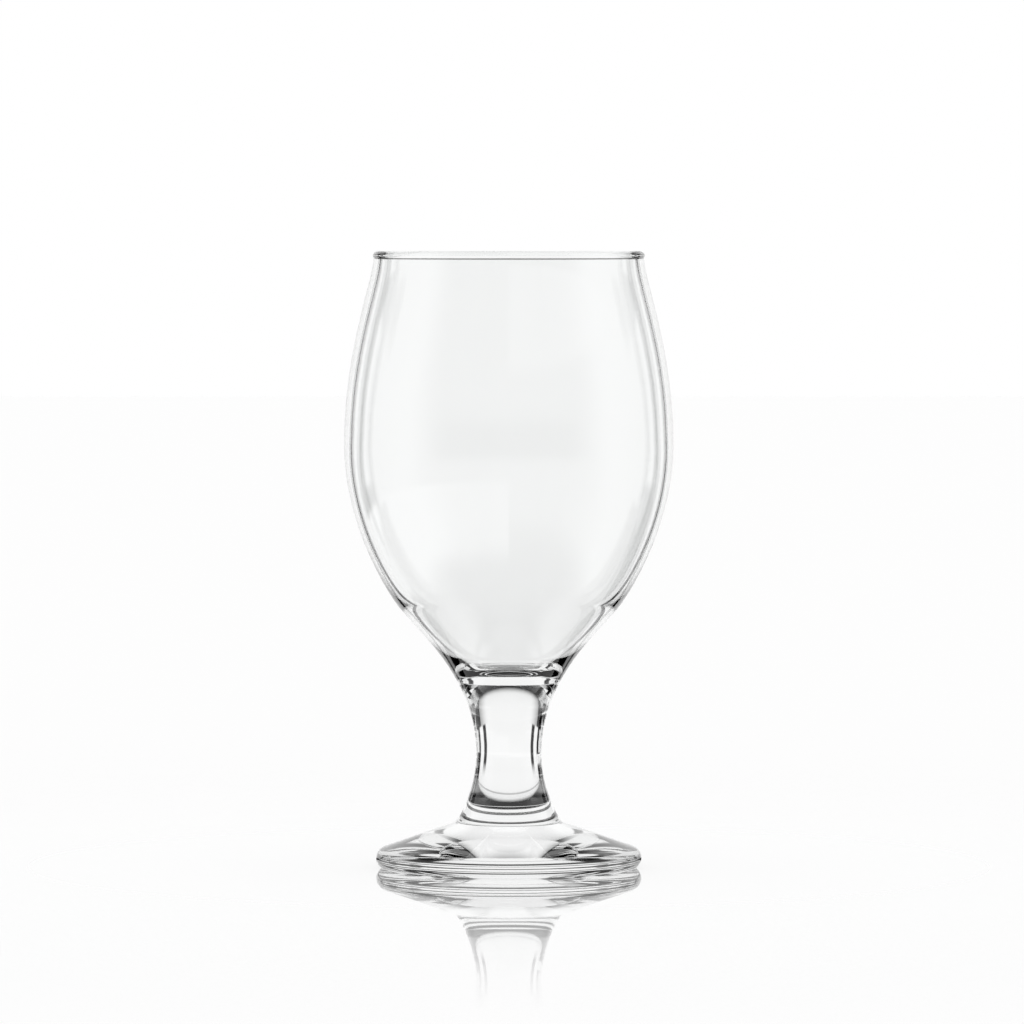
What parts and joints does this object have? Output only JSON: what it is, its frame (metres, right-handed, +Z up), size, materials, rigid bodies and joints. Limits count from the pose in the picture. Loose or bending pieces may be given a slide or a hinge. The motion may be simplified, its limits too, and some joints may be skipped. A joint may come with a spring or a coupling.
{
  "type": "beer glass",
  "caption": "Clear stemmed beer glass: deep bulb-shaped bowl narrowing to a beaded rim, short solid waisted stem and a shallow conical foot.",
  "frame": {"origin": "middle of the foot, on the plane that the glass stands on", "axes": "+Z up along the glass's axis of rotation; X and Y are alike, because the glass is turned"},
  "size_m": [0.0854, 0.0854, 0.16],
  "materials": {
    "clear_glass": "clear and colourless, fire polished"
  },
  "bodies": {
    "root": {"beer_glass": "clear_glass"}
  },
  "joints": []
}
